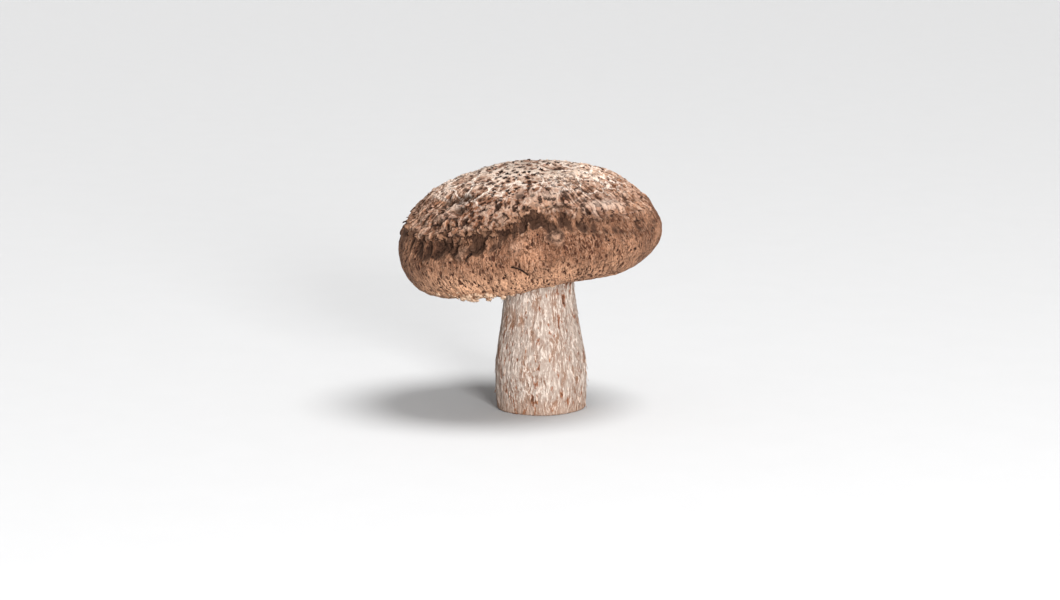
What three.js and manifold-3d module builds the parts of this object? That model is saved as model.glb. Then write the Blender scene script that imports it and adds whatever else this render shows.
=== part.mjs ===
// A thick-capped shiitake mushroom, standing on the cut end of its stem.
// Millimetres, +Z up, the front is -Y. The origin is the centre of the stem's cut face.
import * as THREE from 'three';
import { mergeVertices } from 'three/addons/utils/BufferGeometryUtils.js';
import Module from 'manifold-3d';

const wasm = await Module();
wasm.setup();

// Cap, in its own frame: z is 0 at its widest level, and the axis runs up through the crown.
const CAP_RADIUS = 47.4;      // at the widest level
const CROWN_HEIGHT = 27.4;    // widest level up to the crown
const MARGIN_DROP = 12.1;     // widest level down to the lowest of the rolled margin
const MARGIN_RADIUS = 37;     // ring on which the margin is lowest
const MARGIN_ROLL = 3.5;      // radius with which the margin rolls in towards the gills
const FLESH_LEVEL = -1;       // underside of the flesh, where the gills hang from
const FLESH_ARCH = 2.5;       // how much higher that underside is at the stem than at the margin
const SQUARENESS = 1.85;      // superellipse exponent of the cap's section: 2 is an ellipse
const CAP_DEPTH_SCALE = 0.95; // front to back, against side to side
const CROWN_SKEW = -1.4;      // sideways shift of the crown

// How the cap sits on the stem.
const CAP_LEVEL = 62.1;       // height of the cap's widest level above the cut face
const CAP_SHIFT = -2.5;       // sideways shift of the cap's axis
const CAP_PITCH = 3.2;        // degrees that the crown leans to the front
const CAP_ROLL = -5.4;        // degrees that the crown leans to the left

// Lobes of the cap's outline as [waves round the cap, share of the radius, phase in degrees].
const OUTLINE_LOBES = [[1, 0.025, 157], [2, 0.005, 37], [3, 0.01, -144]];
// Rise and fall of the margin as [waves round the cap, millimetres, phase in degrees].
const MARGIN_WAVES = [[2, 2.5, -106], [4, 1.3, -70], [5, 1.1, 8]];
const WAVE_FADE = 1.5;        // how fast these waves die out towards the crown
// Swellings (+) and dents (-) of the cap's skin as
// [degrees round, degrees above the widest level, degrees wide, degrees high, millimetres].
const SWELLINGS = [
  [-100, 19, 46, 7, 0.9], [-75, 4, 34, 7, -0.8], [-142, 22, 10, 8, 1.1], [-128, 6, 13, 8, -0.9],
  [-150, 44, 9, 8, -1.3], [-58, 9, 8, 8, 1.0], [-38, 32, 11, 8, -0.9], [62, 62, 22, 8, -1.1],
  [20, 30, 18, 12, 0.8], [95, 25, 20, 12, 0.9], [135, 12, 16, 12, -0.8], [180, 35, 20, 14, 0.8],
];

// Gills: one ring of plates that hang from the flesh.
const GILL_COUNT = 96;
const GILL_DEPTH = 6.5;       // hanging depth halfway between the stem and the margin
const GILL_RELIEF = 4;        // depth of the gaps between the plates
const GILL_RIM_DEPTH = 2;     // hanging depth at the margin
const GILL_STEM_DEPTH = 5;    // hanging depth at the stem

// Stem
const STEM_BASE_RADIUS = 15.2;
const STEM_BULGE = 0.8;       // extra radius a little above the cut face
const STEM_BULGE_LEVEL = 13;
const STEM_NECK_RADIUS = 12.2; // narrowest, just below the gills
const STEM_NECK_LEVEL = 48;
const STEM_FLARE = 2.4;       // extra radius where the stem runs into the flesh
const STEM_SEAT = 5;          // how deep the stem reaches into the flesh
const STEM_EDGE = 0.5;        // worn edge of the cut face
const STEM_LEAN = [-1.6, 0.8]; // sideways and backwards shift of the stem's top
const STEM_BEND = 1.5;        // 1 leans the stem straight, and more bends it towards its top
// Lobes of the stem's section, as for the cap's outline.
const STEM_LOBES = [[2, 0.035, 25], [3, 0.02, 100], [5, 0.012, -40]];

const CLEARANCE = 0.3;        // between pieces that grew together

// Mesh resolution
const CAP_SEGMENTS = 72;
const CROWN_STEPS = 13;
const SIDE_STEPS = 7;
const ROLL_STEPS = 3;
const POCKET_STEPS = 4;
const GILL_STEPS = 3;
const GILL_SEGMENTS = 2 * GILL_COUNT;
const STEM_SEGMENTS = 32;
const STEM_STEPS = 12;

const radians = THREE.MathUtils.degToRad;
const smoothstep = THREE.MathUtils.smoothstep;

// Sum of amplitude * cos(order * angle - phase) over the lobes.
function lobed(lobes, angle) {
  return lobes.reduce((sum, [order, size, phase]) =>
    sum + size * Math.cos(order * angle - radians(phase)), 0);
}

// Height of the skin's swellings and dents in one direction from the cap's middle.
function swelling(angle, elevation) {
  return SWELLINGS.reduce((sum, [around, above, wide, high, height]) => {
    const turn = angle - radians(around);
    const across = Math.atan2(Math.sin(turn), Math.cos(turn)) / radians(wide);
    const up = (elevation - radians(above)) / radians(high);
    return sum + height * Math.exp(-across * across - up * up);
  }, 0);
}

// Spins a profile of [radius, z] points, which runs down the outside, about Z,
// and moves each point with place(radius, angle, z, step).
function spin(profile, segments, place) {
  const points = profile.toReversed().map(([r, z]) => new THREE.Vector2(r, z));
  const geometry = new THREE.LatheGeometry(points, segments).rotateX(Math.PI / 2);
  const position = geometry.attributes.position;
  for (let i = 0; i < position.count; i++) {
    const step = profile.length - 1 - (i % profile.length);
    const radius = profile[step][0];
    const angle = Math.atan2(position.getY(i), position.getX(i));
    position.setXYZ(i, ...place(radius, angle, profile[step][1], step));
  }
  return geometry;
}

// The closed mesh of a geometry as a manifold-3d solid, for a cut.
function solidOf(geometry) {
  const bare = geometry.clone().deleteAttribute('normal').deleteAttribute('uv');
  const merged = mergeVertices(bare, 1e-3);
  return new wasm.Manifold(new wasm.Mesh({
    numProp: 3,
    vertProperties: merged.attributes.position.array,
    triVerts: new Uint32Array(merged.index.array),
  }));
}

function geometryOf(solid) {
  const mesh = solid.getMesh();
  const geometry = new THREE.BufferGeometry();
  geometry.setAttribute('position', new THREE.BufferAttribute(new Float32Array(mesh.vertProperties), 3));
  geometry.setIndex(new THREE.BufferAttribute(new Uint32Array(mesh.triVerts), 1));
  geometry.computeVertexNormals();
  return geometry;
}

const capTilt = new THREE.Matrix4()
  .makeTranslation(CAP_SHIFT, 0, CAP_LEVEL)
  .multiply(new THREE.Matrix4().makeRotationY(radians(CAP_ROLL)))
  .multiply(new THREE.Matrix4().makeRotationX(radians(CAP_PITCH)));

// Carries a point of the plain round cap to where it grew: lobed, waved at the margin, and tilted.
function onCap(radius, angle, z) {
  const spread = radius * (1 + lobed(OUTLINE_LOBES, angle));
  const lowness = THREE.MathUtils.clamp((CROWN_HEIGHT - z) / (CROWN_HEIGHT + MARGIN_DROP), 0, 1);
  const outness = Math.min(1, radius / MARGIN_RADIUS) ** 2;
  const skew = CROWN_SKEW * THREE.MathUtils.clamp(z / CROWN_HEIGHT, 0, 1);
  return new THREE.Vector3(
    spread * Math.cos(angle) + skew,
    spread * Math.sin(angle) * CAP_DEPTH_SCALE,
    z + lobed(MARGIN_WAVES, angle) * lowness ** WAVE_FADE * outness,
  ).applyMatrix4(capTilt);
}

// Underside of the flesh at a radius from the cap's axis.
function fleshUnderside(radius) {
  return FLESH_LEVEL + FLESH_ARCH * (1 - (radius / MARGIN_RADIUS) ** 2);
}

const POCKET_RADIUS = MARGIN_RADIUS - MARGIN_ROLL;

// Crown, side, rolled margin, and the pocket for the gills, from the crown's centre to the flesh's.
function capProfile() {
  const profile = [];
  for (let i = 0; i <= CROWN_STEPS; i++) {
    const a = (Math.PI / 2) * (i / CROWN_STEPS);
    profile.push([
      CAP_RADIUS * Math.sin(a) ** (2 / SQUARENESS),
      CROWN_HEIGHT * Math.max(0, Math.cos(a)) ** (2 / SQUARENESS),
    ]);
  }
  for (let i = 1; i <= SIDE_STEPS; i++) {
    const a = (Math.PI / 2) * (i / SIDE_STEPS);
    profile.push([
      MARGIN_RADIUS + (CAP_RADIUS - MARGIN_RADIUS) * Math.max(0, Math.cos(a)) ** (2 / SQUARENESS),
      -MARGIN_DROP * Math.sin(a) ** (2 / SQUARENESS),
    ]);
  }
  for (let i = 1; i <= ROLL_STEPS; i++) {
    const a = (Math.PI / 2) * (i / ROLL_STEPS);
    profile.push([
      MARGIN_RADIUS - MARGIN_ROLL * Math.sin(a),
      -MARGIN_DROP + MARGIN_ROLL * (1 - Math.cos(a)),
    ]);
  }
  for (let i = POCKET_STEPS; i >= 0; i--) {
    const radius = POCKET_RADIUS * (i / POCKET_STEPS);
    profile.push([radius, fleshUnderside(radius)]);
  }
  return profile;
}

function capSolid() {
  const skinSteps = CROWN_STEPS + SIDE_STEPS;
  return solidOf(spin(capProfile(), CAP_SEGMENTS, (radius, angle, z, step) => {
    const reach = Math.hypot(radius, z);
    const swollen = step <= skinSteps ? 1 + swelling(angle, Math.atan2(z, radius)) / reach : 1;
    return onCap(radius * swollen, angle, z * swollen);
  }));
}

// How far the gills hang below the flesh: little at the margin, most in the middle, and some at the stem.
function gillDepth(radius) {
  const middle = (STEM_NECK_RADIUS + POCKET_RADIUS) / 2;
  const half = POCKET_RADIUS - middle;
  const away = THREE.MathUtils.clamp((radius - middle) / half, -1, 1);
  const edge = away > 0 ? GILL_RIM_DEPTH : GILL_STEM_DEPTH;
  return edge + (GILL_DEPTH - edge) * (1 - away * away);
}

// A disc under the flesh whose underside is ridged, every other segment standing at a plate's edge.
function gillSolid() {
  const rim = POCKET_RADIUS - CLEARANCE;
  const radii = [0];
  for (let i = 0; i <= GILL_STEPS; i++) {
    radii.push(THREE.MathUtils.lerp(STEM_NECK_RADIUS, rim, i / GILL_STEPS));
  }
  const top = radii.map((radius) => [radius, fleshUnderside(radius) - CLEARANCE]);
  const bottom = radii.map((radius) => [radius, fleshUnderside(radius) - CLEARANCE - gillDepth(radius)]);
  const profile = [...top, ...bottom.reverse()];
  const segment = (2 * Math.PI) / GILL_SEGMENTS;
  return solidOf(spin(profile, GILL_SEGMENTS, (radius, angle, z, step) => {
    const isGap = Math.round(angle / segment) % 2 !== 0;
    const relief = Math.min(GILL_RELIEF, gillDepth(radius) - CLEARANCE);
    const fade = smoothstep(radius, 0, STEM_NECK_RADIUS);
    return onCap(radius, angle, z + (step >= top.length && isGap ? relief * fade : 0));
  }));
}

const STEM_TOP = CAP_LEVEL + FLESH_LEVEL + FLESH_ARCH + STEM_SEAT;

function stemRadius(z) {
  const taper = 1 - smoothstep(z, STEM_BULGE_LEVEL, STEM_NECK_LEVEL);
  const bulge = STEM_BULGE * Math.exp(-(((z - STEM_BULGE_LEVEL) / STEM_BULGE_LEVEL) ** 2));
  const flare = STEM_FLARE * smoothstep(z, STEM_NECK_LEVEL, CAP_LEVEL);
  return STEM_NECK_RADIUS + (STEM_BASE_RADIUS - STEM_NECK_RADIUS) * taper + bulge + flare;
}

// The stem, or with a growth above 0 the room that it needs.
function stemSolid(growth = 0) {
  const profile = [[0, -growth], [stemRadius(0) - STEM_EDGE + growth, -growth]];
  for (let i = 0; i <= STEM_STEPS; i++) {
    const z = STEM_EDGE + (STEM_TOP - STEM_EDGE) * (i / STEM_STEPS);
    profile.push([stemRadius(z) + growth, i === STEM_STEPS ? z + growth : z]);
  }
  profile.push([0, STEM_TOP + growth]);
  return solidOf(spin(profile.reverse(), STEM_SEGMENTS, (radius, angle, z) => {
    const rise = (Math.max(0, z) / STEM_TOP) ** STEM_BEND;
    const spread = radius * (1 + lobed(STEM_LOBES, angle));
    return [
      spread * Math.cos(angle) + STEM_LEAN[0] * rise,
      spread * Math.sin(angle) + STEM_LEAN[1] * rise,
      z,
    ];
  }));
}

function piece(name, solid, colour, roughness) {
  const material = new THREE.MeshStandardMaterial({ color: colour, roughness, metalness: 0 });
  const mesh = new THREE.Mesh(geometryOf(solid), material);
  mesh.name = name;
  return mesh;
}

const stemRoom = stemSolid(CLEARANCE);

const mushroom = new THREE.Group();
mushroom.add(piece('cap', capSolid().subtract(stemRoom), 0x8a6147, 0.8));
mushroom.add(piece('gills', gillSolid().subtract(stemRoom), 0xcdb193, 0.85));
mushroom.add(piece('stem', stemSolid(), 0xc9a988, 0.85));

export default mushroom;
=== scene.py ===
import math

import bpy
import numpy as np
from mathutils import Matrix, Vector


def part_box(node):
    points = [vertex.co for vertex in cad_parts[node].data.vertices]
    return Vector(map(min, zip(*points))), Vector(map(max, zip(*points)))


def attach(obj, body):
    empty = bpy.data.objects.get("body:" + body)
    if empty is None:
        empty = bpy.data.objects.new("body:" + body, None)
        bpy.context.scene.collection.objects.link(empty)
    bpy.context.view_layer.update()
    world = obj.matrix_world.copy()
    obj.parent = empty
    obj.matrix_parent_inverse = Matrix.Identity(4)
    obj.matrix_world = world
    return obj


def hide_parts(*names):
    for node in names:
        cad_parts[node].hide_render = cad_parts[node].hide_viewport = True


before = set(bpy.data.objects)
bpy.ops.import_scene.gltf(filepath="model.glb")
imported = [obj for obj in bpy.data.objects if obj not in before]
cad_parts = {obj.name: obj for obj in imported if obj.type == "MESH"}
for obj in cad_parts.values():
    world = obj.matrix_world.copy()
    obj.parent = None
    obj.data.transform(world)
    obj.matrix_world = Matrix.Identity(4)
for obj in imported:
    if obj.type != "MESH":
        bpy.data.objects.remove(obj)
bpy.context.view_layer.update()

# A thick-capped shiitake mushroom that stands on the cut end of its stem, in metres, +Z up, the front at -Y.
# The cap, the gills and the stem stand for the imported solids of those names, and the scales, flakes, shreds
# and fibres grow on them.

MM = 0.001

# The plain round cap, before its lobes and its tilt. Lengths are in millimetres up to seated().
CAP_RADIUS = 47.4            # at the widest level
CROWN_HEIGHT = 27.4          # from the widest level up to the crown
MARGIN_DROP = 12.1           # from the widest level down to the lowest of the rolled margin
MARGIN_RADIUS = 37.0         # ring on which the margin is lowest
MARGIN_ROLL = 3.5            # radius with which the margin rolls in towards the gills
FLESH_LEVEL = -1.0           # underside of the flesh, where the gills hang from
FLESH_ARCH = 2.5             # how much higher that underside is in the middle than at the margin
SQUARENESS = 1.85            # superellipse exponent of the cap's section: 2 is an ellipse
CAP_DEPTH_SCALE = 0.95       # front to back, against side to side
CROWN_SKEW = -1.4            # sideways shift of the crown
CAP_LEVEL = 62.1             # height of the widest level above the cut face
CAP_SHIFT = -2.5             # sideways shift of the cap's axis
CAP_PITCH = 3.2              # degrees that the crown leans to the front
CAP_ROLL = -5.4              # degrees that the crown leans to the left
WAVE_FADE = 1.5              # how fast the margin's waves die out towards the crown
POCKET_RADIUS = MARGIN_RADIUS - MARGIN_ROLL
POCKET_STEPS = (8, 5, 5)     # how much coarser each ring of the pocket's ceiling is than the one before
PROFILE_STEPS = 600          # points on each stretch of the skin's outline: crown, side and roll

# [waves round the cap, size, phase in degrees]
OUTLINE_LOBES = [(1, 0.025, 157), (2, 0.005, 37), (3, 0.01, -144)]
MARGIN_WAVES = [(2, 2.5, -106), (4, 1.3, -70), (5, 1.1, 8)]
# [degrees round, degrees above the widest level, degrees wide, degrees high, height in millimetres]
SWELLINGS = [
    (-100, 3, 60, 8, 1.0), (-150, 30, 6, 4, -3.0), (-139, 35, 7, 4, -2.6), (-135, 26.5, 6, 3, -2.4),
    (-143, 21, 12, 4, 1.5), (-72, 25, 8, 3.5, -1.6), (-24, 64, 24, 6, -1.8), (-52, 14, 14, 4, -1.2),
    (-50, 21, 12, 4, 1.2), (62, 62, 22, 8, -1.4), (20, 30, 18, 12, 1.2), (95, 25, 20, 12, 1.2),
    (135, 12, 16, 12, -1.2), (180, 35, 20, 14, 1.0), (-20, 18, 12, 7, -0.9), (-85, -6, 14, 6, -0.6),
]
# Warts on the smooth side of the cap: [degrees round, degrees above the widest level, radius, height].
WARTS = [
    (-123, 6.2, 2.6, 1.6), (-120.5, 8.5, 1.0, 0.8), (-125, 5, 1.0, 0.8), (-112.7, 6.5, 1.1, 1.0),
    (-97, 7.5, 3.2, 1.2), (-79.4, 9.6, 3.2, 2.2), (-132, 10.8, 1.0, 1.0), (-111.2, 10.8, 0.9, 0.8),
    (-110.5, 8.6, 0.9, 0.8), (-34, 4, 2.0, 0.7), (35, 6, 2.6, 1.3), (120, 2, 2.4, 1.1), (170, 7, 2.2, 1.3),
]
# Short tears in the skin: [degrees round, degrees above the widest level, length, lean in degrees].
TEARS = [
    (-120.1, 4.6, 3.2, 60), (-96.6, -2.6, 7.4, -38), (-106.9, 0.9, 1.7, 85), (-103.5, -4.3, 1.2, 70),
    (-146, 1.6, 1.2, 70), (-109, 0.9, 1.0, 85), (-12, -4, 2.4, 70), (78, -6, 4.5, 50), (152, -8, 3.0, 75),
]
TEAR_HALF_WIDTH = 0.3
TEAR_DEPTH = 1.2
TEAR_BOW = 0.4
NO_TEAR = 5.0                # distance at which a tear no longer shows
MARKED_SKIN = 24.0           # how far below the widest level the skin has its own lumps and marks

# Where the crackled crown ends: [degrees round, length along the skin from the middle of the crown].
SHOULDER = [
    (-180, 46.0), (-158, 48.0), (-132, 49.0), (-112, 46.0), (-98, 42.0), (-86, 39.8), (-76, 42.0),
    (-66, 45.5), (-50, 48.0), (-25, 52.0), (15, 48.0), (60, 44.0), (100, 47.0), (145, 44.0),
]
SHOULDER_LOBES = [(7, 0.5, 10), (11, 0.5, 200), (17, 0.4, 90), (26, 0.3, 40)]
RIDGE_HEIGHT = 2.0           # of the crown's edge
GROOVE_DEPTH = 1.3           # of the groove under it
SKIN_RINGS = 150
# Sides of the cap: [degrees round, degrees wide].
FRONT = (-105, 60)           # the crown's edge stands out
SHELTERED = (-112, 48)       # the groove under it is deep
BROKEN_SIDE = (-130, 55)     # the crown is cleft
CRACKLED_SIDE = (-100, 48)   # the crown has small scales rather than long fibrils
LIT_LOW_SIDE = (-122, 38)       # the low band near the margin is painted lighter: painted light, partly paler skin
# Patches of skin: [degrees round, degrees wide, length along the skin, breadth, strength].
PALE_PATCHES = [(-46, 13, 41, 3.5, 1.0), (-72, 12, 31, 3.5, 0.8)]
VEIL_PATCHES = [(-124, 17, 70.5, 3.6, 1.0), (-88, 9, 72, 2.2, 0.5)]

# Stem
STEM_BASE_RADIUS = 15.2
STEM_BULGE = 0.8
STEM_BULGE_LEVEL = 13.0
STEM_NECK_RADIUS = 12.2
STEM_NECK_LEVEL = 48.0
STEM_FLARE = 2.4
STEM_LEAN = (-1.6, 0.8)
STEM_BEND = 1.5
STEM_LOBES = [(2, 0.035, 25), (3, 0.02, 100), (5, 0.012, -40)]
STEM_TOP = CAP_LEVEL + FLESH_LEVEL + FLESH_ARCH
STEM_EDGE = 0.8              # worn edge of the cut face
STEM_EDGE_RINGS = 5
STEM_SEGMENTS = 320
STEM_RINGS = 200
CUT_RINGS = 24

# Gills
GILL_PLATES = 216
GILL_DEPTH = 6.5
GILL_RIM_DEPTH = 2.0
GILL_STEM_DEPTH = 5.0
GILL_THICKNESS = 0.28
GILL_INSIDE = STEM_NECK_RADIUS - 0.6
GILL_STARTS = (GILL_INSIDE, 24.5, 19.0, 27.5)   # inner ends of one plate and the shorter ones after it
PLATE_STEPS = 13
PLATE_LEVELS = 3


# ---------------------------------------------------------------- growing shapes

def smoothstep(low, high, value):
    t = np.clip((value - low) / (high - low), 0, 1)
    return t * t * (3 - 2 * t)


def lobed(lobes, angle):
    return sum(size * np.cos(order * angle - math.radians(phase)) for order, size, phase in lobes)


def turned(angle, around):
    """Angle from a direction round the cap, between half a turn back and half a turn on."""
    turn = angle - math.radians(around)
    return np.arctan2(np.sin(turn), np.cos(turn))


def bell(value, middle, width):
    """1 in the middle, falling to 0 on both sides of it."""
    return np.exp(-(((value - middle) / width) ** 2))


def on_side(angle, side):
    """1 on a side of the cap, falling to 0 away from it."""
    around, wide = side
    return bell(turned(angle, around), 0, math.radians(wide))


def swelling(angle, elevation):
    total = np.zeros_like(angle)
    for around, above, wide, high, height in SWELLINGS:
        across = turned(angle, around) / math.radians(wide)
        up = (elevation - math.radians(above)) / math.radians(high)
        total += height * np.exp(-across ** 2 - up ** 2)
    return total


def patches(places, angle, along):
    total = np.zeros_like(angle)
    for around, wide, middle, breadth, strength in places:
        across = turned(angle, around) / math.radians(wide)
        down = (along - middle) / breadth
        total += strength * np.exp(-across ** 2 - down ** 2)
    return total


def warts(angle, elevation, radius, reach):
    """The height of the warts, how much a point is on a tall one, and 1 on the rings of the tall ones."""
    height = np.zeros_like(radius)
    share = np.zeros_like(radius)
    rings = np.zeros_like(radius)
    for around, above, size, tall in WARTS:
        across = turned(angle, around) * radius
        up = (elevation - math.radians(above)) * reach
        turn = np.arctan2(up, across)
        away = np.hypot(across, up) / size * (1 + 0.14 * np.sin(3 * turn + around))
        shape = np.exp(-(away ** 4)) * (1 - 0.35 * bell(away, 0, 0.4)) - 0.3 * bell(away, 1.4, 0.3)
        uneven = away * (1 + 0.25 * np.sin(2 * turn + 2 * around))
        ring = bell(uneven, 0.55, 0.2) * smoothstep(1.3, 1.8, tall)
        height += tall * shape - 0.5 * ring
        share += tall / 1.8 * bell(away, 0, 0.9)
        rings += ring
    return height, share, rings


def tears(angle, elevation, radius, reach):
    """Distance from the nearest tear."""
    nearest = np.full_like(radius, NO_TEAR)
    for around, above, length, lean in TEARS:
        across = turned(angle, around) * radius
        up = (elevation - math.radians(above)) * reach
        c, s = math.cos(math.radians(lean)), math.sin(math.radians(lean))
        lengthways = across * c + up * s
        sideways = up * c - across * s + TEAR_BOW * lengthways ** 2 / length
        past = np.maximum(0, abs(lengthways) - length / 2 + TEAR_HALF_WIDTH)
        nearest = np.minimum(nearest, np.hypot(sideways, past))
    return nearest


CAP_TILT = np.array(
    Matrix.Translation((CAP_SHIFT, 0, CAP_LEVEL))
    @ Matrix.Rotation(math.radians(CAP_ROLL), 4, "Y")
    @ Matrix.Rotation(math.radians(CAP_PITCH), 4, "X")
)


def shoulder_line(angle):
    around, length = zip(*SHOULDER)
    return np.interp(angle, np.radians(around), length, period=2 * math.pi) + lobed(SHOULDER_LOBES, angle)


def on_cap(radius, angle, z):
    """Points of the plain round cap where they grew: lobed, waved at the margin, and tilted."""
    spread = radius * (1 + lobed(OUTLINE_LOBES, angle))
    lowness = np.clip((CROWN_HEIGHT - z) / (CROWN_HEIGHT + MARGIN_DROP), 0, 1)
    outness = np.minimum(1, radius / MARGIN_RADIUS) ** 2
    skew = CROWN_SKEW * np.clip(z / CROWN_HEIGHT, 0, 1)
    wave = lobed(MARGIN_WAVES, angle) * lowness ** WAVE_FADE * outness
    grown = np.stack([
        spread * np.cos(angle) + skew,
        spread * np.sin(angle) * CAP_DEPTH_SCALE,
        z + wave,
    ], axis=-1)
    return grown @ CAP_TILT[:3, :3].T + CAP_TILT[:3, 3]


def flesh_underside(radius):
    return FLESH_LEVEL + FLESH_ARCH * (1 - (radius / MARGIN_RADIUS) ** 2)


def flesh_ring(radius, angle):
    return on_cap(np.full(len(angle), radius), angle, np.full(len(angle), flesh_underside(radius)))


def skin_profile():
    """Radius, height and length along the skin, from the middle of the crown over the rolled margin."""
    a = np.linspace(0, math.pi / 2, PROFILE_STEPS)
    power = 2 / SQUARENESS
    crown = np.stack([CAP_RADIUS * np.sin(a) ** power, CROWN_HEIGHT * np.cos(a).clip(0) ** power])
    reach = CAP_RADIUS - MARGIN_RADIUS
    side = np.stack([MARGIN_RADIUS + reach * np.cos(a).clip(0) ** power, -MARGIN_DROP * np.sin(a) ** power])
    roll = np.stack([MARGIN_RADIUS - MARGIN_ROLL * np.sin(a), MARGIN_ROLL * (1 - np.cos(a)) - MARGIN_DROP])
    radius, z = np.concatenate([crown, side[:, 1:], roll[:, 1:]], axis=1)
    along = np.concatenate([[0], np.cumsum(np.hypot(np.diff(radius), np.diff(z)))])
    return radius, z, along


def disc_grid(rings):
    """A square grid pressed into a disc: shares of the radius, angles, faces and the rim."""
    side = 2 * rings + 1
    u, v = (x.ravel() / rings for x in np.mgrid[-rings:rings + 1, -rings:rings + 1].astype(float))
    share = np.maximum(abs(u), abs(v))
    wide = abs(u) >= abs(v)
    slope = np.divide(np.where(wide, v, u), np.where(wide, u, v), out=np.zeros_like(u), where=share > 0)
    quarter = np.where(wide, 0, math.pi / 2) + np.where(np.where(wide, u, v) < 0, math.pi, 0)
    angle = quarter + np.where(wide, 1, -1) * slope * math.pi / 4
    index = np.arange(side * side).reshape(side, side)
    corners = (index[:-1, :-1], index[1:, :-1], index[1:, 1:], index[:-1, 1:])
    faces = np.stack([x.ravel() for x in corners], axis=1)
    rim = np.concatenate([index[:-1, 0], index[-1, :-1], index[:0:-1, -1], index[0, :0:-1]])
    return share, angle, faces, rim


def seated(points, like, node):
    """Points in millimetres carried to metres, by the move that takes the box of like to the node's box."""
    low, high = (np.array(x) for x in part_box(node))
    size = (high - low) / (like.max(axis=0) - like.min(axis=0))
    return (points - like.min(axis=0)) * size + low


def mesh_piece(name, points, faces, material=None):
    mesh = bpy.data.meshes.new(name)
    mesh.from_pydata(points.tolist(), [], [list(map(int, face)) for face in faces])
    mesh.polygons.foreach_set("use_smooth", [True] * len(mesh.polygons))
    mesh.update()
    piece = bpy.data.objects.new(name, mesh)
    bpy.context.scene.collection.objects.link(piece)
    if material:
        mesh.materials.append(material)
    return piece


def remember(piece, name, values):
    """Writes one number or one vector for each point of the piece."""
    kind, field = ("FLOAT", "value") if values.ndim == 1 else ("FLOAT_VECTOR", "vector")
    attribute = piece.data.attributes.new(name, kind, "POINT")
    attribute.data.foreach_set(field, values.astype(np.float32).ravel())


# ---------------------------------------------------------------- node trees

class Value:
    """What a node gives out. Sums, differences, products and quotients of it are further nodes."""

    def __init__(self, tree, socket):
        self.tree = tree
        self.socket = socket

    def math(self, operation, *others):
        node = self.tree.nodes.new("ShaderNodeMath")
        node.operation = operation
        for socket, value in zip(node.inputs, (self, *others)):
            plug(self.tree, value, socket)
        return Value(self.tree, node.outputs[0])

    def __add__(self, other):
        return self.math("ADD", other)

    def __mul__(self, other):
        return self.math("MULTIPLY", other)

    def __sub__(self, other):
        return self.math("SUBTRACT", other)

    def __truediv__(self, other):
        return self.math("DIVIDE", other)

    def __neg__(self):
        return self.math("MULTIPLY", -1.0)

    def between(self, low, high):
        """0 below low, 1 above high and smooth between them, or the other way round if low is the higher."""
        node = self.tree.nodes.new("ShaderNodeMapRange")
        node.interpolation_type = "SMOOTHSTEP"
        flip = low > high
        numbers = (self, min(low, high), max(low, high), float(flip), float(not flip))
        for name, value in zip(("Value", "From Min", "From Max", "To Min", "To Max"), numbers):
            plug(self.tree, value, node.inputs[name])
        return Value(self.tree, node.outputs[0])

    def stretched(self, x, y, z):
        return self.vector("MULTIPLY", (x, y, z))

    def vector(self, operation, other):
        node = self.tree.nodes.new("ShaderNodeVectorMath")
        node.operation = operation
        plug(self.tree, self, node.inputs[0])
        plug(self.tree, other, node.inputs["Scale" if operation == "SCALE" else 1])
        return Value(self.tree, node.outputs[0])


def plug(tree, value, socket):
    if isinstance(value, Value):
        tree.links.new(value.socket, socket)
    else:
        socket.default_value = value


def named(sockets, key):
    if isinstance(key, int):
        return sockets[key]
    return next(socket for socket in sockets if socket.name == key and socket.enabled)


class Tree:
    """Adds nodes to a tree of geometry or shader nodes."""

    def __init__(self, tree):
        self.tree = tree

    def add(self, kind, sockets, out=0, **settings):
        node = self.tree.nodes.new(kind)
        for name, value in settings.items():
            setattr(node, name, value)
        for key, value in sockets.items():
            plug(self.tree, value, named(node.inputs, key))
        return Value(self.tree, named(node.outputs, out)) if len(node.outputs) else node

    def read(self, name, vector=False):
        """One of the numbers or vectors that are written on the points."""
        if self.tree.bl_idname == "GeometryNodeTree":
            kind = "FLOAT_VECTOR" if vector else "FLOAT"
            return self.add("GeometryNodeInputNamedAttribute", {"Name": name}, data_type=kind)
        return self.add("ShaderNodeAttribute", {}, "Vector" if vector else "Fac", attribute_name=name)

    def noise(self, place, size, detail=2.0, roughness=0.5, out=0):
        """Soft noise from about 0 to 1 with bumps of a size in the units of the place."""
        sockets = {"Vector": place, "Scale": 1 / size, "Detail": detail, "Roughness": roughness}
        return self.add("ShaderNodeTexNoise", sockets, out, noise_dimensions="3D")

    def cells(self, place, size, feature="F1"):
        """Distance from the middle, or from the edge, of cells of a size in the units of the place."""
        sockets = {"Vector": place, "Scale": 1 / size, "Randomness": 1.0}
        return self.add("ShaderNodeTexVoronoi", sockets, "Distance", feature=feature)

    def warped(self, place, size, amount):
        """The place, moved about by noise."""
        shift = self.noise(place, size, out="Color").vector("SUBTRACT", (0.5, 0.5, 0.5))
        return place.vector("ADD", shift.vector("SCALE", amount))

    def mix(self, share, first, second):
        return self.add("ShaderNodeMix", {0: share, 6: first, 7: second}, 2, data_type="RGBA")


def colour(red, green, blue):
    return (red, green, blue, 1.0)


def new_material(name):
    """A material, its tree, and a function that wires colour, roughness and height to its shader."""
    material = bpy.data.materials.new(name)
    material.use_nodes = True
    tree = material.node_tree
    shader = tree.nodes["Principled BSDF"]
    shader.inputs["Specular IOR Level"].default_value = 0.12

    def wire(base, rough, height, relief):
        plug(tree, base, shader.inputs["Base Color"])
        plug(tree, rough, shader.inputs["Roughness"])
        bump = tree.nodes.new("ShaderNodeBump")
        bump.inputs["Distance"].default_value = relief
        plug(tree, height, bump.inputs["Height"])
        tree.links.new(bump.outputs[0], shader.inputs["Normal"])

    return material, Tree(tree), wire


# ---------------------------------------------------------------- patterns of the cap's skin

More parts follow.
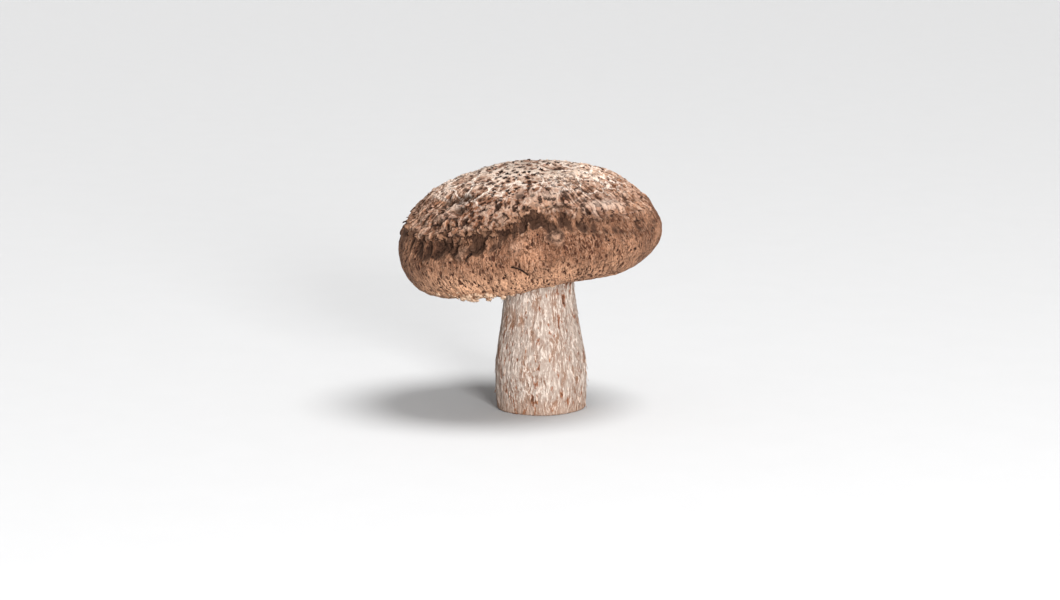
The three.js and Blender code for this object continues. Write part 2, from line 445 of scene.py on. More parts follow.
VEIN_CELL = 7.5          # between the pale veins of the crown
VEIN_WIDTH = 0.55
SCALE_CELL = 2.15        # of the crown's small pressed scales
DASH_CELL = 1.6          # between the dark dashes of the smooth side
SPECK_CELL = 3.0         # between its round specks
PIMPLE_CELL = 3.6        # between the pimples under the shoulder


def crown_share(tree):
    """1 on the crackled crown, 0 on the smooth side, and a ragged change between them."""
    ragged = tree.noise(tree.read("skin", True), 4.0, 3.0, 0.6) - 0.5
    return (tree.read("below_shoulder") + ragged * 9.0).between(2.0, -6.0)


def veins(tree):
    """1 along the pale veins of the crown."""
    skin = tree.read("skin", True)
    place = tree.warped(skin, 5.0, 5.0)
    wide = tree.cells(place, VEIN_CELL, "DISTANCE_TO_EDGE").between(VEIN_WIDTH / VEIN_CELL, 0.02)
    fine_cell = VEIN_CELL * 0.42
    fine = tree.cells(place, fine_cell, "DISTANCE_TO_EDGE").between(0.8 * VEIN_WIDTH / fine_cell, 0.01)
    patchy = tree.noise(skin, 9.0).between(0.42, 0.62)
    fading = tree.read("below_shoulder").between(-8.0, -22.0)
    return wide.math("MAXIMUM", fine * patchy * 0.8) * (fading * 0.85 + 0.15)


def scale_cells(tree):
    """Distance from the middles of the crown's small cells, in cells."""
    place = tree.warped(tree.warped(tree.read("skin", True), 2.0, 1.2), 0.8, 0.7)
    return tree.cells(place, SCALE_CELL)


def pits(tree, distance):
    """1 in the dark pits, one in the middle of most cells."""
    sparse = tree.noise(tree.read("skin", True), 3.0).between(0.32, 0.42)
    return distance.between(0.42, 0.33) * sparse * (tree.read("streaky") * -0.7 + 1.0)


def fibrils(tree, width, length, wander=1.6):
    """Fibres that run down the skin, from 0 to 1."""
    place = tree.warped(tree.read("grain", True), 3.0, wander).stretched(1, 1, width / length)
    return tree.noise(place, width, 2.0, 0.6)


def streaks(tree):
    """Long fibrils at the crown's sides and back: 1 in their dark gaps, and 1 on their pale backs."""
    long_fibrils = fibrils(tree, 0.85, 9.0, 1.0)
    streaky = tree.read("streaky")
    return long_fibrils.between(0.47, 0.4) * streaky, long_fibrils.between(0.52, 0.6) * streaky


def clefts(tree):
    """1 in the deep clefts that run down between the folds near the shoulder."""
    place = tree.warped(tree.read("grain", True), 4.0, 5.0).stretched(1, 1, 0.55)
    return tree.noise(place, 3.6, 1.5, 0.5).between(0.42, 0.34) * tree.read("broken")


def scallops(tree):
    """1 in the soft hollows that lie side by side in the groove under the shoulder."""
    place = tree.warped(tree.read("grain", True), 6.0, 3.0).stretched(1, 1, 0.45)
    return tree.noise(place, 4.0, 1.0).between(0.38, 0.66) * tree.read("hollow")


def dashes(tree):
    """1 in short dark dashes that point down the skin."""
    place = tree.warped(tree.read("grain", True), 2.0, 1.2).stretched(1, 1, 0.5)
    sparse = tree.noise(tree.read("skin", True), 4.0, 2.0).between(0.36, 0.52)
    return tree.cells(place, DASH_CELL).between(0.32, 0.22) * sparse


def pimples(tree):
    """Small round bumps under the shoulder."""
    place = tree.warped(tree.read("skin", True), 3.0, 1.0)
    return tree.cells(place, PIMPLE_CELL).between(0.26, 0.06) * tree.read("pimpled")


# ---------------------------------------------------------------- materials

def cap_skin():
    material, tree, wire = new_material("cap skin")
    skin = tree.read("skin", True)
    raised = tree.read("raised")
    streaky = tree.read("streaky")
    fine = fibrils(tree, 0.45, 1.6, 2.2)
    coarse = fibrils(tree, 1.1, 8.0, 1.2)
    drift = tree.noise(skin, 9.0, 3.0)
    grit = tree.noise(skin, 0.8, 3.0, 0.65)
    distance = scale_cells(tree)
    pit = pits(tree, distance)
    vein = veins(tree)
    streak_gap, streak_back = streaks(tree)
    gap = streak_gap.math("MAXIMUM", clefts(tree))
    calm = streaky * -0.7 + 1.0
    outwards = tree.read("below_shoulder").between(-32.0, -14.0)

    patch = tree.mix(drift.between(0.35, 0.65), colour(0.54, 0.335, 0.238), colour(0.8, 0.6, 0.47))
    outer = tree.mix(drift.between(0.35, 0.65), colour(0.16, 0.061, 0.029), colour(0.37, 0.178, 0.098))
    patch = tree.mix(outwards, patch, outer)
    inwards = -outwards * 0.65 + 1.0
    patch = tree.mix(distance.between(0.58, 0.72) * inwards * calm * 0.8, patch, colour(0.82, 0.64, 0.52))
    # Painted shade: the rims round the pits of the crown's cells are painted darker.
    patch = tree.mix(distance.between(0.58, 0.44) * calm * 0.75, patch, colour(0.18, 0.065, 0.03))
    patch = tree.mix(grit.between(0.58, 0.68) * inwards * 0.4, patch, colour(0.7, 0.5, 0.38))
    patch = tree.mix(grit.between(0.42, 0.32) * 0.4, patch, colour(0.1, 0.04, 0.022))
    patch = tree.mix(streak_back * (inwards * 0.5 + 0.15), patch, colour(0.66, 0.46, 0.34))
    patch = tree.mix(tree.read("pale") * drift.between(0.3, 0.5) * 0.6, patch, colour(0.64, 0.49, 0.4))
    patch = tree.mix(vein, patch, colour(0.88, 0.72, 0.61))
    # Painted shadow in the deep clefts between the folds; the same mix darkens the gaps between the long
    # fibrils.
    patch = tree.mix(gap * 0.9, patch, colour(0.045, 0.02, 0.012))
    # Painted shadow: the sunk pits under the scales' tips are painted near black.
    crown = tree.mix(pit, patch, colour(0.012, 0.005, 0.003))

    low = tree.read("low")
    strokes = tree.noise(skin, 7.0, 2.0).between(0.36, 0.6) * 0.5 + low * 0.15 + 0.35
    side = tree.mix(drift.between(0.36, 0.64), colour(0.19, 0.083, 0.045), colour(0.38, 0.187, 0.107))
    # Painted light on the low band near the margin, partly its paler skin.
    side = tree.mix(low * 0.9, side, colour(0.8, 0.44, 0.265))
    side = tree.mix(coarse.between(0.52, 0.36) * 0.5, side, colour(0.1, 0.04, 0.021))
    side = tree.mix(fine.between(0.465, 0.39) * strokes * 1.15, side, colour(0.04, 0.013, 0.006))
    side = tree.mix(fine.between(0.56, 0.63) * strokes * 0.4, side, colour(0.62, 0.39, 0.27))
    side = tree.mix(grit.between(0.58, 0.7) * 0.4, side, colour(0.56, 0.36, 0.25))
    # Painted shade in the soft hollows of the groove under the shoulder.
    side = tree.mix(scallops(tree) * 0.75, side, colour(0.12, 0.057, 0.03))
    marks = dashes(tree)
    side = tree.mix(marks * 0.9, side, colour(0.06, 0.018, 0.009))
    specks = tree.cells(tree.warped(skin, 1.5, 1.0), SPECK_CELL)
    side = tree.mix(specks.between(0.2, 0.13) * 0.8, side, colour(0.12, 0.035, 0.017))
    side = tree.mix(specks.between(0.13, 0.09), side, colour(0.012, 0.005, 0.004))
    wart = tree.read("wart")
    ring = tree.read("wart_ring") * tree.noise(skin, 1.1, 2.0).between(0.38, 0.47)
    side = tree.mix(wart.between(0.1, 1.1) * 0.55, side, colour(0.54, 0.33, 0.225))
    # Painted shade in the groove round the tall warts.
    side = tree.mix(ring * 0.9, side, colour(0.035, 0.013, 0.008))
    side = tree.mix(pimples(tree) * 0.6, side, colour(0.5, 0.31, 0.21))

    whole = tree.mix(crown_share(tree), side, crown)
    # Painted shade: the groove under the crown's edge is painted darker where it is deep.
    whole = tree.mix(tree.read("hollow") * 0.35, whole, colour(0.09, 0.043, 0.024))
    # Painted shade in the sunk places of the relief and painted highlight on its raised places, most on the
    # crown.
    whole = tree.mix(raised.between(-0.1, -0.55) * 0.8, whole, colour(0.045, 0.021, 0.013))
    whole = tree.mix(raised.between(0.2, 0.65) * (inwards * 0.45 + 0.08), whole, colour(0.62, 0.45, 0.34))
    # Painted shade in the valleys between the swellings and painted highlight on the tallest swellings.
    swell = tree.read("swell")
    whole = tree.mix(swell.between(-0.4, -1.8) * 0.8, whole, colour(0.07, 0.036, 0.022))
    whole = tree.mix(swell.between(0.9, 1.8) * 0.3, whole, colour(0.5, 0.33, 0.24))
    under = tree.mix(coarse.between(0.4, 0.6), colour(0.17, 0.085, 0.05), colour(0.34, 0.2, 0.13))
    whole = tree.mix(tree.read("lip") * 0.8, whole, under)
    # Painted shadow: the tears are painted near black inside.
    whole = tree.mix(tree.read("tear").between(0.45, 0.2), whole, colour(0.015, 0.007, 0.005))
    sunk = pit * 1.0 + gap * 0.6 + marks * 0.4 + ring * 0.6 + specks.between(0.2, 0.1) * 0.5
    height = fine * 0.7 + grit * 0.8 + distance * 0.5 - sunk
    wire(whole, grit * 0.25 + 0.6, height, 1.5 * MM)
    return material


def scale_skin(name, root_colour, tip_colour):
    """Skin of a loose scale, flake, shred or fibre, which changes colour towards its tip."""
    material, tree, wire = new_material(name)
    tip = tree.read("tip")
    shade = tree.read("shade")
    grain = tree.noise(tree.add("ShaderNodeTexCoord", {}, "Object"), 0.7 * MM, 2.0)
    base = tree.mix((tip * 1.6 + shade * 0.7 + grain * 1.6 - 2.0).between(0.0, 0.5), root_colour, tip_colour)
    wire(base, grain * 0.2 + 0.68, grain, 0.4 * MM)
    return material


def stem_skin():
    material, tree, wire = new_material("stem skin")
    place = tree.read("skin", True)
    cut = tree.read("cut")
    foot = tree.read("foot")
    fibre = tree.noise(tree.warped(place, 5.0, 2.0).stretched(1, 1, 0.2), 0.7, 3.0, 0.6)
    broad = tree.noise(tree.warped(place, 8.0, 4.0).stretched(1, 1, 0.3), 4.0, 3.0)
    grit = tree.noise(place, 0.9, 3.0, 0.65)
    rough = tree.noise(place, 8.0, 2.0).between(0.42, 0.66) * 0.55 + 0.25
    base = tree.mix(broad.between(0.33, 0.5), colour(0.25, 0.148, 0.1), colour(0.37, 0.296, 0.249))
    base = tree.mix(fibre.between(0.48, 0.38) * rough, base, colour(0.17, 0.075, 0.04))
    base = tree.mix(fibre.between(0.52, 0.62) * 0.9, base, colour(0.62, 0.52, 0.45))
    base = tree.mix(grit.between(0.56, 0.68) * 0.35, base, colour(0.58, 0.485, 0.42))
    base = tree.mix(grit.between(0.43, 0.35) * rough * 0.6, base, colour(0.22, 0.11, 0.065))
    blots = tree.noise(place.stretched(1, 1, 0.4), 1.8, 3.0, 0.6) + rough * 0.06 + foot * 0.03
    base = tree.mix(blots.between(0.62, 0.69) * 0.85, base, colour(0.22, 0.07, 0.026))
    base = tree.mix(blots.between(0.7, 0.74) * 0.9, base, colour(0.05, 0.018, 0.01))
    base = tree.mix(foot * 0.45, base, colour(0.26, 0.13, 0.07))
    pith = tree.noise(place, 0.7, 3.0, 0.6)
    face = tree.mix(pith.between(0.35, 0.65), colour(0.16, 0.11, 0.085), colour(0.3, 0.235, 0.19))
    base = tree.mix(cut, base, face)
    wire(base, grit * 0.2 + 0.7, fibre * 1.1 + grit * 0.6, 1.0 * MM)
    return material


def gill_flesh():
    material, tree, wire = new_material("gill flesh")
    place = tree.read("skin", True)
    edge = tree.read("edge")
    drift = tree.noise(place, 6.0, 3.0)
    base = tree.mix(drift.between(0.3, 0.7), colour(0.5, 0.33, 0.21), colour(0.62, 0.44, 0.3))
    base = tree.mix(edge * 0.8, base, colour(0.78, 0.62, 0.47))
    spots = tree.noise(place, 1.4, 2.0).between(0.66, 0.74)
    base = tree.mix(spots * 0.6, base, colour(0.3, 0.14, 0.07))
    wire(base, drift * 0.2 + 0.7, tree.noise(place, 0.6, 2.0), 0.1 * MM)
    return material


def studio_paper():
    material, tree, wire = new_material("studio paper")
    place = tree.add("ShaderNodeTexCoord", {}, "Object")
    mottle = tree.noise(place, 0.02, 3.0)
    base = tree.mix(mottle, colour(0.485, 0.485, 0.487), colour(0.5, 0.5, 0.502))
    wire(base, 0.9, mottle, 0.02 * MM)
    return material


# ---------------------------------------------------------------- geometry node trees

def grower(name, inputs):
    """A tree of geometry nodes with named inputs: the tree, and a function that gives one of its inputs."""
    group = bpy.data.node_groups.new(name, "GeometryNodeTree")
    group.interface.new_socket("Geometry", in_out="INPUT", socket_type="NodeSocketGeometry")
    for label, kind in inputs.items():
        group.interface.new_socket(label, in_out="INPUT", socket_type="NodeSocket" + kind)
    group.interface.new_socket("Geometry", in_out="OUTPUT", socket_type="NodeSocketGeometry")
    entry = group.nodes.new("NodeGroupInput")
    return Tree(group), lambda label: Value(group, entry.outputs[label])


def close_tree(tree, geometry, material):
    """Ends a tree in Realize Instances and Set Material."""
    whole = tree.add("GeometryNodeRealizeInstances", {"Geometry": geometry})
    dressed = tree.add("GeometryNodeSetMaterial", {"Geometry": whole, "Material": material})
    tree.add("NodeGroupOutput", {"Geometry": dressed})


def grown(name, base, tree, values):
    """The plain mesh that a tree of geometry nodes makes on a base piece."""
    modifier = base.modifiers.new(tree.name, "NODES")
    modifier.node_group = tree
    sockets = {item.name: item.identifier for item in tree.interface.items_tree if item.in_out == "INPUT"}
    for label, value in values.items():
        modifier[sockets[label]] = value
    graph = bpy.context.evaluated_depsgraph_get()
    graph.update()
    mesh = bpy.data.meshes.new_from_object(base.evaluated_get(graph))
    base.modifiers.remove(modifier)
    mesh.name = name
    piece = bpy.data.objects.new(name, mesh)
    bpy.context.scene.collection.objects.link(piece)
    return piece


def relief_tree():
    """Raises and sinks the cap's skin: veins, scales and folds on the crown, fibrils and hollows below it."""
    tree, given = grower("cap relief", {
        "Vein height": "Float", "Scale height": "Float", "Lump height": "Float", "Fibril height": "Float",
        "Fold height": "Float", "Cleft depth": "Float", "Scallop depth": "Float", "Material": "Material",
    })
    skin = tree.read("skin", True)
    crown = crown_share(tree)
    side = -crown + 1.0
    lumps = tree.noise(tree.warped(skin, 6.0, 4.0), 4.5, 2.0, 0.45) - 0.5
    grit = tree.noise(skin, 1.3, 2.0, 0.6) - 0.5
    folds = tree.noise(tree.warped(tree.read("grain", True), 3.0, 4.0).stretched(1, 1, 1.5), 3.6, 2.0, 0.55)
    flaky = (-(folds - 0.5).math("ABSOLUTE") * 8.0 + 0.7).math("MAXIMUM", -0.7)
    distance = scale_cells(tree)
    streak_gap, streak_back = streaks(tree)
    scaled = distance.between(0.7, 0.2) * (tree.read("streaky") * -0.7 + 1.0) - pits(tree, distance) * 1.2
    scaled = scaled + streak_back * 0.8 - streak_gap * 1.3 + grit * 0.6
    height = crown * (scaled * given("Scale height") + veins(tree) * given("Vein height"))
    run = tree.warped(tree.read("grain", True), 6.0, 4.0).stretched(1, 1, 0.5)
    long_folds = (tree.noise(run, 5.0, 2.0) - 0.5) * tree.read("broken") * 3.0
    height = height + crown * (lumps + long_folds) * given("Lump height")
    fibrous = fibrils(tree, 1.2, 3.5) * 2.0 - 1.0 + lumps * 4.0 + grit * 1.0
    height = height + side * fibrous * given("Fibril height")
    height = height + pimples(tree) * 0.6 * MM - clefts(tree) * given("Cleft depth")
    height = height - scallops(tree) * given("Scallop depth")
    height = height + tree.read("shoulder_band") * flaky * given("Fold height")
    normal = tree.add("GeometryNodeInputNormal", {})
    moved = tree.add("GeometryNodeSetPosition", {
        "Geometry": given("Geometry"), "Offset": normal.vector("SCALE", height),
    })
    moved = tree.add("GeometryNodeStoreNamedAttribute", {
        "Geometry": moved, "Name": "raised", "Value": height / MM,
    }, data_type="FLOAT", domain="POINT")
    close_tree(tree, moved, given("Material"))
    return tree.tree


def scatter_tree():
    """Sets copies of a small piece on a skin, with their tips pointing down it."""
    tree, given = grower("scatter", {
        "Piece": "Object", "Where": "String", "Spacing": "Float", "Density": "Float", "Smallest": "Float",
        "Largest": "Float", "Twist": "Float", "Lift": "Float", "Seed": "Int", "Material": "Material",
    })
    where = tree.add("GeometryNodeInputNamedAttribute", {"Name": given("Where")}, data_type="FLOAT")
    points = tree.add("GeometryNodeDistributePointsOnFaces", {
        "Mesh": given("Geometry"), "Distance Min": given("Spacing"), "Density Max": given("Density"),
        "Density Factor": where, "Seed": given("Seed"),
    }, "Points", distribute_method="POISSON")
    normal = tree.read("outwards", True)

    def chance(low, high, number):
        sockets = {"Min": low, "Max": high, "Seed": given("Seed") + number}
        return tree.add("FunctionNodeRandomValue", sockets, "Value", data_type="FLOAT")

    facing = tree.add("FunctionNodeAxesToRotation", {
        "Primary Axis": normal, "Secondary Axis": tree.read("downhill", True),
    }, primary_axis="Z", secondary_axis="X")
    twist = tree.add("FunctionNodeAxisAngleToRotation", {
        "Axis": (0, 0, 1), "Angle": chance(-given("Twist"), given("Twist"), 1),
    })
    lift = tree.add("FunctionNodeAxisAngleToRotation", {
        "Axis": (0, 1, 0), "Angle": -chance(given("Lift") * 0.2, given("Lift"), 2),
    })
    turn = tree.add("FunctionNodeRotateRotation", {0: facing, 1: twist}, rotation_space="LOCAL")
    turn = tree.add("FunctionNodeRotateRotation", {0: turn, 1: lift}, rotation_space="LOCAL")
    shape = tree.add("GeometryNodeObjectInfo", {"Object": given("Piece")}, "Geometry")
    copies = tree.add("GeometryNodeInstanceOnPoints", {
        "Points": points, "Instance": shape, "Rotation": turn,
        "Scale": chance(given("Smallest"), given("Largest"), 3),
    })
    copies = tree.add("GeometryNodeStoreNamedAttribute", {
        "Geometry": copies, "Name": "shade", "Value": chance(0.0, 1.0, 4),
    }, data_type="FLOAT", domain="INSTANCE")
    close_tree(tree, copies, given("Material"))
    return tree.tree


def gill_ring_tree():
    """Sets the gill plates round the stem: a long one, then three shorter ones, and so on."""
    starts = [f"Plate {number}" for number in range(len(GILL_STARTS))]
    sizes = {"Plates": "Int", "Wander": "Float", "Ripple": "Float", "Seed": "Int", "Material": "Material"}
    tree, given = grower("gill ring", {**sizes, **{label: "Object" for label in starts}})
    line = tree.add("GeometryNodeMeshLine", {"Count": given("Plates"), "Offset": (0, 0, 0)}, mode="OFFSET")
    points = tree.add("GeometryNodeMeshToPoints", {"Mesh": line})
    number = tree.add("GeometryNodeInputIndex", {})
    ring = tree.add("GeometryNodeJoinGeometry", {}, "Geometry")
    chance = tree.add("FunctionNodeRandomValue", {
        "Min": -given("Wander"), "Max": given("Wander"), "Seed": given("Seed"),
    }, "Value", data_type="FLOAT")
    angle = (number + chance) * (2 * math.pi) / given("Plates")
    turn = tree.add("FunctionNodeAxisAngleToRotation", {"Axis": (0, 0, 1), "Angle": angle})
    for place, label in enumerate(starts):
        mine = number.math("MODULO", float(len(starts))).math("COMPARE", float(place), 0.5)
        shape = tree.add("GeometryNodeObjectInfo", {"Object": given(label)}, "Geometry")
        copies = tree.add("GeometryNodeInstanceOnPoints", {
            "Points": points, "Selection": mine, "Instance": shape, "Rotation": turn,
        })
        tree.tree.links.new(copies.socket, ring.socket.node.inputs[0])
    whole = tree.add("GeometryNodeRealizeInstances", {"Geometry": ring})
    place = tree.add("GeometryNodeInputPosition", {})
    ripple = tree.noise(place, 3.0, 2.0, out="Color").vector("SUBTRACT", (0.5, 0.5, 0.5))
    moved = tree.add("GeometryNodeSetPosition", {
        "Geometry": whole, "Offset": ripple.vector("SCALE", given("Ripple")),
    })
    close_tree(tree, moved, given("Material"))
    return tree.tree


# ---------------------------------------------------------------- pieces

def cap_base():
    """The cap's outer skin, rolled margin and pocket, with what its patterns need written on its points."""
    radius_at, z_at, along_at = skin_profile()
    share, angle, faces, rim = disc_grid(SKIN_RINGS)
    area = np.concatenate([[0], np.cumsum((radius_at[1:] + radius_at[:-1]) * np.diff(along_at))])
    along = np.interp(share ** 2, area / area[-1], along_at)
    radius = np.interp(along, along_at, radius_at)
    z = np.interp(along, along_at, z_at)

    elevation = np.arctan2(z, radius)
    reach = np.hypot(radius, z)
    wart, warty, wart_ring = warts(angle, elevation, radius, reach)
    tear = tears(angle, elevation, radius, reach)
    lumpy = swelling(angle, elevation)
    below = along - shoulder_line(angle)
    front = on_side(angle, FRONT)
    sheltered = on_side(angle, SHELTERED)
    hollow = bell(below, 3.6, 3.3)
    ridge = RIDGE_HEIGHT * bell(below, -1.3, 1.5) - GROOVE_DEPTH * hollow * (0.3 + 0.7 * sheltered)
    ridge *= 0.2 + 0.8 * front
    torn = TEAR_DEPTH * bell(tear, 0, 0.5)
    marked = along < along_at[PROFILE_STEPS - 1] + MARKED_SKIN
    grown_scale = 1 + np.where(marked, lumpy + wart + ridge - torn, 0) / np.maximum(reach, 1)
    points = on_cap(radius * grown_scale, angle, z * grown_scale)

    ceiling_points, ceiling_faces = pocket_ceiling(len(points), rim, angle[rim])
    all_points = np.concatenate([points, ceiling_points])
    base = mesh_piece("cap_base", seated(all_points, points, "cap"), [*faces.tolist(), *ceiling_faces])

    total = along_at[-1]
    band = bell(below, -1.2, 2.4) * (0.25 + 0.75 * front)
    broken = smoothstep(-20, -9, below) * smoothstep(3.0, -1.0, below)
    broken *= 0.25 + 0.75 * on_side(angle, BROKEN_SIDE)
    pimpled = smoothstep(-1, 2, below) * smoothstep(12, 7, below) * front
    streaky = smoothstep(10, 24, along) * (1 - 0.9 * on_side(angle, CRACKLED_SIDE))
    # Painted light: the low band near the margin is painted lighter, most on the front-left side, partly the
    # paler skin near the margin.
    low = smoothstep(57, 68, along) * (0.3 + 0.7 * on_side(angle, LIT_LOW_SIDE))
    # What each pattern reads: its values on the skin, and its value in the pocket.
    numbers = {
        "below_shoulder": (below, 50.0),
        "lip": (smoothstep(total - 9, total - 3.5, along), 1.0),
        "tear": (np.where(marked, tear, NO_TEAR), NO_TEAR),
        "wart": (np.where(marked, warty, 0), 0.0),
        "wart_ring": (np.where(marked, wart_ring, 0), 0.0),
        "swell": (np.where(marked, lumpy, 0), 0.0),
        "hollow": (hollow * (0.12 + 0.88 * sheltered), 0.0),
        "streaky": (streaky, 0.0),
        "broken": (broken, 0.0),
        "pimpled": (pimpled, 0.0),
        "pale": (patches(PALE_PATCHES, angle, along), 0.0),
        "low": (low, 0.0),
        "shoulder_band": (band, 0.0),
        "scaly": (smoothstep(2.0, -12.0, below), 0.0),
        "shreds": (smoothstep(0.08, 0.8, patches(VEIL_PATCHES, angle, along)), 0.0),
        "flaky": (band * (0.3 + 0.7 * front), 0.0),
    }
    extra = len(ceiling_points)
    for name, (values, hidden) in numbers.items():
        remember(base, name, np.concatenate([values, np.full(extra, hidden)]))
    remember(base, "skin", all_points)
    grain = np.stack([CAP_RADIUS * np.cos(angle), CAP_RADIUS * np.sin(angle), along], axis=1)
    remember(base, "grain", np.concatenate([grain, ceiling_points]))
    near = along + 0.2
    lower = on_cap(np.interp(near, along_at, radius_at), angle, np.interp(near, along_at, z_at))
    downhill = lower - on_cap(radius, angle, z)
    remember(base, "downhill", np.concatenate([downhill, np.tile([1.0, 0.0, 0.0], (extra, 1))]))
    normals = np.zeros(len(all_points) * 3)
    base.data.vertices.foreach_get("normal", normals)
    remember(base, "outwards", normals.reshape(-1, 3))
    return base, points


def pocket_ceiling(first, rim, angle):
    """Closes the pocket of the gills: a wall up from the rim, then a ceiling in ever coarser rings."""
    count = len(rim)
    ring = first + np.arange(count)
    faces = [(rim[(i + 1) % count], rim[i], ring[i], ring[(i + 1) % count]) for i in range(count)]
    points = [flesh_ring(POCKET_RADIUS, angle)]
    made = count
    for number, step in enumerate(POCKET_STEPS):
        angle = angle[::step]
        radius = POCKET_RADIUS * (1 - (number + 1) / (len(POCKET_STEPS) + 0.5))
        points.append(flesh_ring(radius, angle))
        inner = first + made + np.arange(len(angle))
        made += len(angle)
        for i in range(len(inner)):
            outer = [ring[(i * step + k) % len(ring)] for k in range(step + 1)]
            faces.append((inner[i], inner[(i + 1) % len(inner)], *reversed(outer)))
        ring = inner
    faces.append(tuple(reversed(ring.tolist())))
    return np.concatenate(points), faces


def slab(name, material, front, back, rows, columns):
    """A thin closed piece between two grids of points."""
    at = np.arange((rows + 1) * (columns + 1)).reshape(rows + 1, columns + 1)
    faces = []
    for i in range(rows):
        for j in range(columns):
            quad = (at[i, j], at[i + 1, j], at[i + 1, j + 1], at[i, j + 1])
            faces.append(quad)
            faces.append(tuple(at.size + k for k in reversed(quad)))
    rim = [*at[:-1, 0], *at[-1, :-1], *at[:0:-1, -1], *at[0, :0:-1]]
    for a, b in zip(rim, rim[1:] + rim[:1]):
        faces.append((b, a, a + at.size, b + at.size))
    return mesh_piece(name, np.concatenate([front, back]), faces, material)


def leaf(name, material, width, thickness, curl, ragged, along_steps, across_steps):
    """A small closed leaf, 1 long, that starts at the origin and points along X, its tip curling up."""
    steps = np.linspace(0, 1, along_steps + 1)
    sides = np.linspace(-1, 1, across_steps + 1)
    t, s = (x.ravel() for x in np.meshgrid(steps, sides, indexing="ij"))
    row, column = np.divmod(np.arange(len(t)), len(sides))
    half = width / 2 * (0.35 + 0.65 * np.sin(math.pi * np.clip(t * 0.85 + 0.05, 0, 1)))
    half *= 1 + ragged * (-1.0) ** row
    x = t - 0.15 * s ** 2 * t + 0.5 * ragged * t * (-1.0) ** column
    y = half * s
    z = curl * t ** 2 - 0.25 * width * s ** 2 * (1 - t)
    body = thickness / 2 * (1 - s ** 2 * 0.8) * (1 - 0.7 * t)
    top = np.stack([x, y, z + body], axis=1)
    low = np.stack([x, y, z - body], axis=1)
    made = slab(name, material, top, low, along_steps, across_steps)
    remember(made, "tip", np.concatenate([t, t]))
    return made


def gill_depth(radius):
    middle = (STEM_NECK_RADIUS + POCKET_RADIUS) / 2
    away = np.clip((radius - middle) / (POCKET_RADIUS - middle), -1, 1)
    edge = np.where(away > 0, GILL_RIM_DEPTH, GILL_STEM_DEPTH)
    return edge + (GILL_DEPTH - edge) * (1 - away ** 2)


def gill_plate(name, material, start):
    """One upright plate that hangs from the flesh, from its inner end at start to the pocket's wall."""
    end = POCKET_RADIUS + 0.4
    steps = np.linspace(start, end, PLATE_STEPS + 1)
    levels = np.linspace(0, 1, PLATE_LEVELS + 1)
    r, level = (x.ravel() for x in np.meshgrid(steps, levels, indexing="ij"))
    top = flesh_underside(r) + 0.4
    grow = smoothstep(start - 0.5, start + 5.0, r) if start > GILL_INSIDE else 1.0
    z = top - (gill_depth(r) + 0.7) * grow * level
    half = GILL_THICKNESS / 2 * (1.3 - 0.75 * level)
    left = np.stack([r, half, z], axis=1)
    right = np.stack([r, -half, z], axis=1)
    made = slab(name, material, left, right, PLATE_STEPS, PLATE_LEVELS)
    edge = level ** 2
    remember(made, "edge", np.concatenate([edge, edge]))
    return made


def stem_radius(z):
    taper = 1 - smoothstep(STEM_BULGE_LEVEL, STEM_NECK_LEVEL, z)
    bulge = STEM_BULGE * np.exp(-(((z - STEM_BULGE_LEVEL) / STEM_BULGE_LEVEL) ** 2))
    flare = STEM_FLARE * smoothstep(STEM_NECK_LEVEL, CAP_LEVEL, z)
    return STEM_NECK_RADIUS + (STEM_BASE_RADIUS - STEM_NECK_RADIUS) * taper + bulge + flare


def stem_base():
    """The stem's skin from its top down to the cut face, which is flat and closes the foot."""
    edge_angle = np.linspace(0, math.pi / 2, STEM_EDGE_RINGS + 1)[1:]
    z = np.concatenate([np.linspace(STEM_TOP, STEM_EDGE, STEM_RINGS), STEM_EDGE * (1 - np.sin(edge_angle))])
    radius = stem_radius(z)
    radius[STEM_RINGS:] = stem_radius(STEM_EDGE) - STEM_EDGE * (1 - np.cos(edge_angle))
    inner = radius[-1] * (1 - np.arange(1, CUT_RINGS) / CUT_RINGS)
    radius = np.concatenate([radius, inner])
    z = np.concatenate([z, np.zeros(len(inner))])
    angle = np.linspace(0, 2 * math.pi, STEM_SEGMENTS, endpoint=False)
    r, a = (x.ravel() for x in np.meshgrid(radius, angle, indexing="ij"))
    height = np.repeat(z, STEM_SEGMENTS)
    rise = (height / (STEM_TOP + 5.0)) ** STEM_BEND
    spread = r * (1 + lobed(STEM_LOBES, a))
    lean_x, lean_y = STEM_LEAN
    rings = np.stack([spread * np.cos(a) + lean_x * rise, spread * np.sin(a) + lean_y * rise, height], axis=1)
    points = np.concatenate([rings, [[lean_x, lean_y, STEM_TOP], [0, 0, 0]]])
    rows = len(radius)
    at = np.arange(rows * STEM_SEGMENTS).reshape(rows, STEM_SEGMENTS)
    nxt = np.roll(at, -1, axis=1)
    quads = np.stack([at[:-1], at[1:], nxt[1:], nxt[:-1]], axis=-1).reshape(-1, 4)
    top, foot = len(rings), len(rings) + 1
    ends = [(top, at[0, i], nxt[0, i]) for i in range(STEM_SEGMENTS)]
    ends += [(foot, nxt[-1, i], at[-1, i]) for i in range(STEM_SEGMENTS)]
    base = mesh_piece("stem_base", points * MM, [*quads.tolist(), *ends])
    row = np.repeat(np.arange(rows), STEM_SEGMENTS)
    # What each pattern reads: its values on the rings, and at the middles of the top and of the cut face.
    numbers = {
        "cut": (smoothstep(STEM_RINGS + 3, STEM_RINGS + 6, row), [0, 1]),
        "foot": (smoothstep(9, 0, height), [0, 0]),
        "free": (smoothstep(0.5, 4.0, height), [0, 0]),
        "fuzzy": (smoothstep(1.0, 6.0, height), [0, 0]),
    }
    for name, (values, middles) in numbers.items():
        remember(base, name, np.append(values, middles))
    remember(base, "skin", points)
    remember(base, "downhill", np.tile([0.0, 0.0, -1.0], (len(points), 1)))
    outwards = np.stack([np.cos(a), np.sin(a), np.zeros(len(a))], axis=1)
    remember(base, "outwards", np.concatenate([outwards, [[0, 0, 1], [0, 0, -1]]]))
    return base


